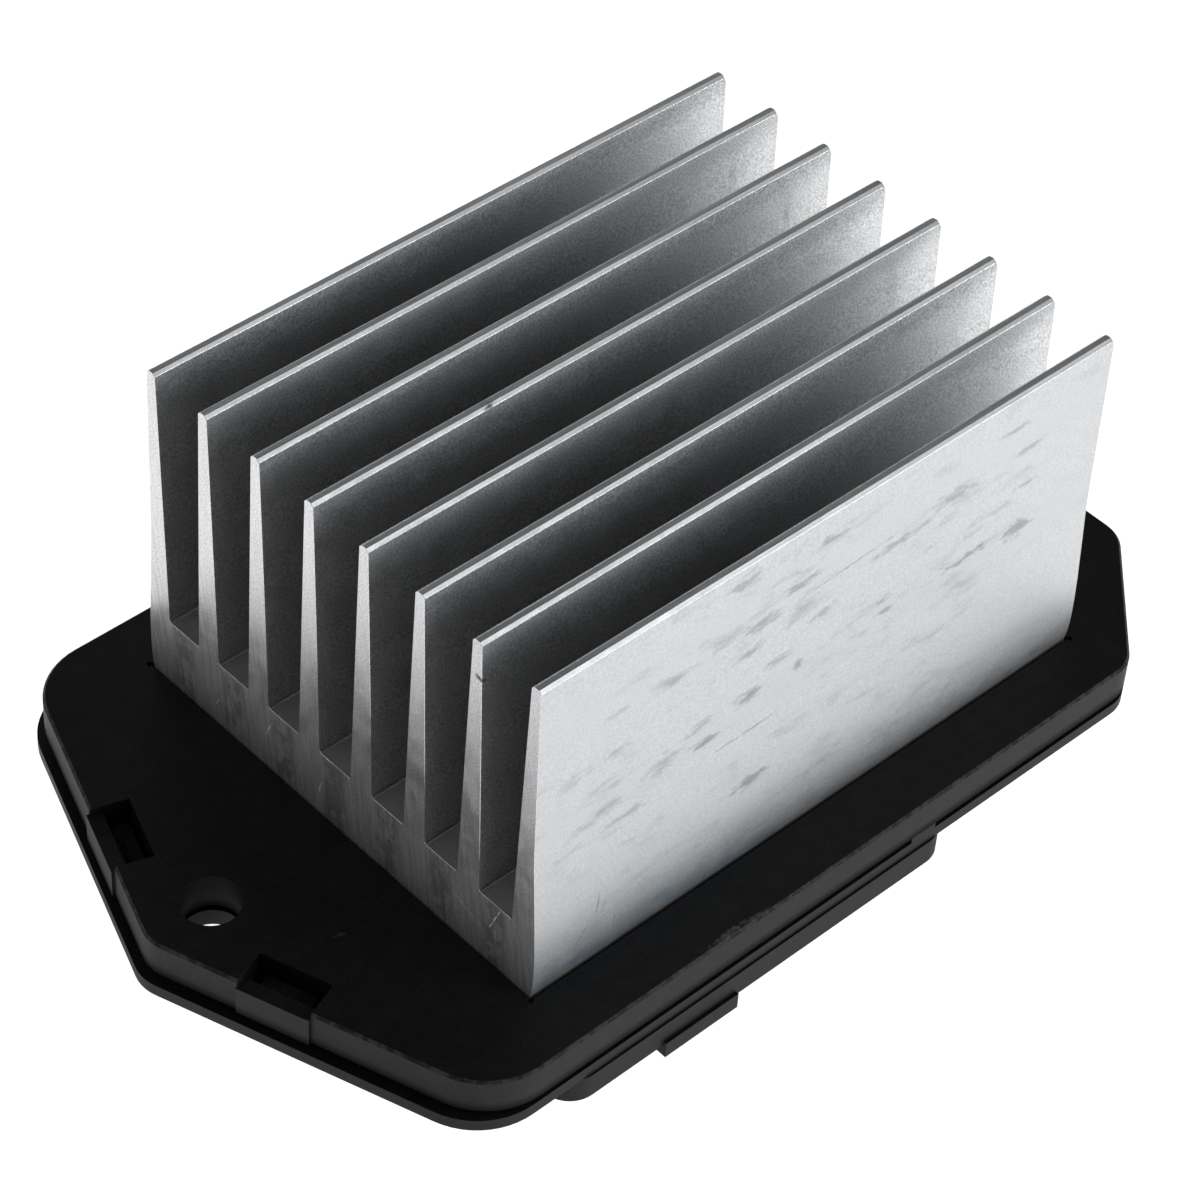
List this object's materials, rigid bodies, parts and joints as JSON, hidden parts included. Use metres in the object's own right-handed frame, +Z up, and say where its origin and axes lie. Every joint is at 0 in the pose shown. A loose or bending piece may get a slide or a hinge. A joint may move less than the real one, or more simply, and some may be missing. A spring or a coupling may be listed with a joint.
{
  "type": "blower motor resistor",
  "caption": "Speed-control module for a car's blower motor: a finned aluminium heat sink on a black plastic plate with two mounting holes and plug sockets beneath.",
  "frame": {"origin": "midway between the two mounting holes, on the plate's upper face, which seats against the air duct", "axes": "+X along the fins from the plate's pointed end to its flat end, +Z up through the fins, +Y across the fins"},
  "size_m": [0.1017, 0.0637, 0.0612],
  "materials": {
    "sink_aluminium": "mill-finished extrusion with sawn ends",
    "casing_plastic": "black moulded plastic with a fine grain",
    "gasket_rubber": "smooth die-cut sheet",
    "screw_steel": "zinc-plated",
    "board_laminate": "green solder mask",
    "lead_copper": "tinned copper",
    "moulded_black": "black moulding compound",
    "pad_film": "grey silicone film",
    "terminal_brass": "tinned brass strip",
    "capacitor_sleeve": "dark shrink sleeve",
    "fuse_case": "lacquered metal case",
    "shunt_alloy": "bare resistance strip",
    "ceramic_tan": "fired ceramic with tinned ends",
    "ceramic_black": "glazed ceramic with tinned ends"
  },
  "bodies": {
    "root": {"heat_sink": "sink_aluminium", "mounting_frame": "casing_plastic", "rear_housing": "casing_plastic", "sealing_gasket": "gasket_rubber", "housing_screws": "screw_steel", "circuit_board": "board_laminate", "board_screws": "screw_steel", "transistor_lead_frame": "lead_copper", "power_transistor": "moulded_black", "insulating_pad": "pad_film", "lock_washer": "screw_steel", "transistor_screw": "screw_steel", "motor_blade_near": "terminal_brass", "motor_blade_far": "terminal_brass", "supply_blade": "terminal_brass", "ground_blade": "terminal_brass", "signal_pin": "terminal_brass", "sense_pin": "terminal_brass", "electrolytic_capacitor": "capacitor_sleeve", "thermal_fuse": "fuse_case", "shunt_resistor": "shunt_alloy", "control_chip": "moulded_black", "suppressor_diode": "moulded_black", "chip_capacitors": "ceramic_tan", "chip_resistors": "ceramic_black"}
  },
  "joints": []
}
